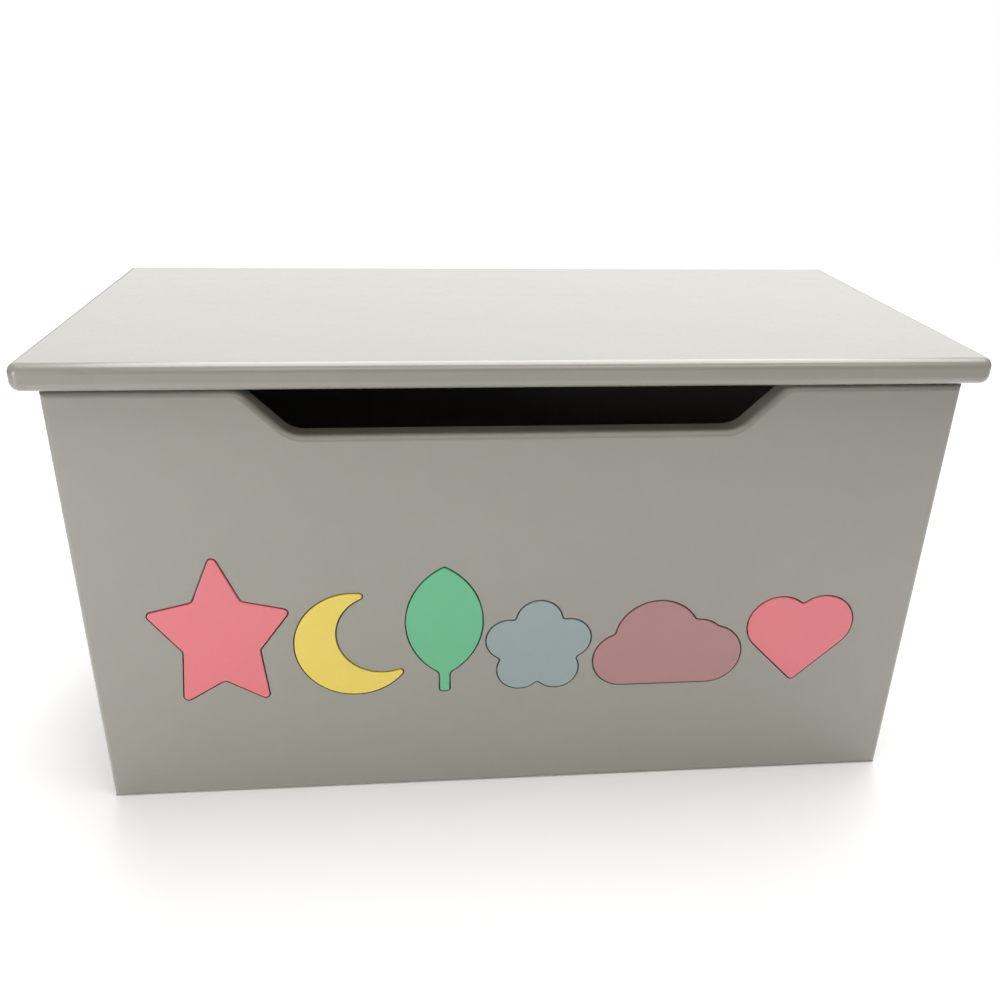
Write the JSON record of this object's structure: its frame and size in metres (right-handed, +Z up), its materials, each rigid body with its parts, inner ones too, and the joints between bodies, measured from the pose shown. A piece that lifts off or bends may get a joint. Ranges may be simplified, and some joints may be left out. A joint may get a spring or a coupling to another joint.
{
  "type": "lidded wooden toy box",
  "caption": "Painted wooden toy box with a finger notch, coloured shapes let into its front, and a hinged lid held by a folding friction stay.",
  "frame": {"origin": "on the floor under the middle of the whole box with its lid shut", "axes": "+X to the right as seen from the front, +Y to the back, where the hinge is, +Z up"},
  "size_m": [0.629, 0.3012, 0.341],
  "materials": {
    "carcass_paint": "satin painted board, warm light grey",
    "lid_paint": "satin painted board, warm light grey",
    "raw_wood": "bare planed softwood",
    "dowel_wood": "bare fluted beech",
    "coral_paint": "satin painted board, coral pink",
    "yellow_paint": "satin painted board, yellow",
    "green_paint": "satin painted board, green",
    "blue_paint": "satin painted board, pale blue grey",
    "mauve_paint": "satin painted board, mauve",
    "hinge_steel": "nickel plated steel strip",
    "screw_steel": "zinc plated steel",
    "stay_steel": "zinc plated pressed steel",
    "stay_plastic": "black moulded plastic",
    "bumper_rubber": "clear soft rubber"
  },
  "bodies": {
    "box": {"back_panel": "carcass_paint", "base_cleat_back": "raw_wood", "base_cleat_front": "raw_wood", "base_cleat_left": "raw_wood", "base_cleat_right": "raw_wood", "base_panel": "carcass_paint", "base_screws": "screw_steel", "cleat_screws": "screw_steel", "corner_dowels": "dowel_wood", "front_panel": "carcass_paint", "hinge_leaf_back": "hinge_steel", "hinge_pin": "hinge_steel", "hinge_screws_back": "screw_steel", "inlay_cloud": "mauve_paint", "inlay_flower": "blue_paint", "inlay_heart": "coral_paint", "inlay_leaf": "green_paint", "inlay_moon": "yellow_paint", "inlay_star": "coral_paint", "left_side": "carcass_paint", "lid_bumpers": "bumper_rubber", "right_side": "carcass_paint", "stay_friction_disc": "stay_plastic", "stay_hub_cap": "stay_plastic", "stay_pivot_bolt": "screw_steel", "stay_wall_bracket": "stay_steel", "stay_wall_screws": "screw_steel"},
    "lid": {"lid_panel": "lid_paint", "hinge_leaf_lid": "hinge_steel", "hinge_screws_lid": "screw_steel", "stay_lid_bracket": "stay_steel", "stay_lid_rivet": "screw_steel", "stay_lid_washer": "stay_plastic", "stay_lid_screws": "screw_steel"},
    "stay_arm": {"stay_main_arm": "stay_steel", "stay_elbow_rivet": "screw_steel", "stay_elbow_washer": "stay_plastic"},
    "stay_link": {"stay_link_arm": "stay_steel"}
  },
  "joints": [
    {"name": "lid_hinge", "type": "hinge", "parent": "box", "child": "lid", "pos_m": [0, 0.14815, 0.322], "axis": [-1, 0, 0], "range_deg": [0, 95]},
    {"name": "stay_wall_pivot", "type": "hinge", "parent": "box", "child": "stay_arm", "pos_m": [0.2782, 0.10715, 0.261], "axis": [-1, 0, 0], "range_deg": [0, 95]},
    {"name": "stay_lid_pivot", "type": "hinge", "parent": "lid", "child": "stay_link", "pos_m": [0.2754, 0.02815, 0.303], "axis": [-1, 0, 0], "range_deg": [-95, 0]}
  ],
  "couplings": [
    {"joint": "stay_wall_pivot", "follows": "lid_hinge", "ratio": 1},
    {"joint": "stay_lid_pivot", "follows": "lid_hinge", "ratio": -1}
  ]
}
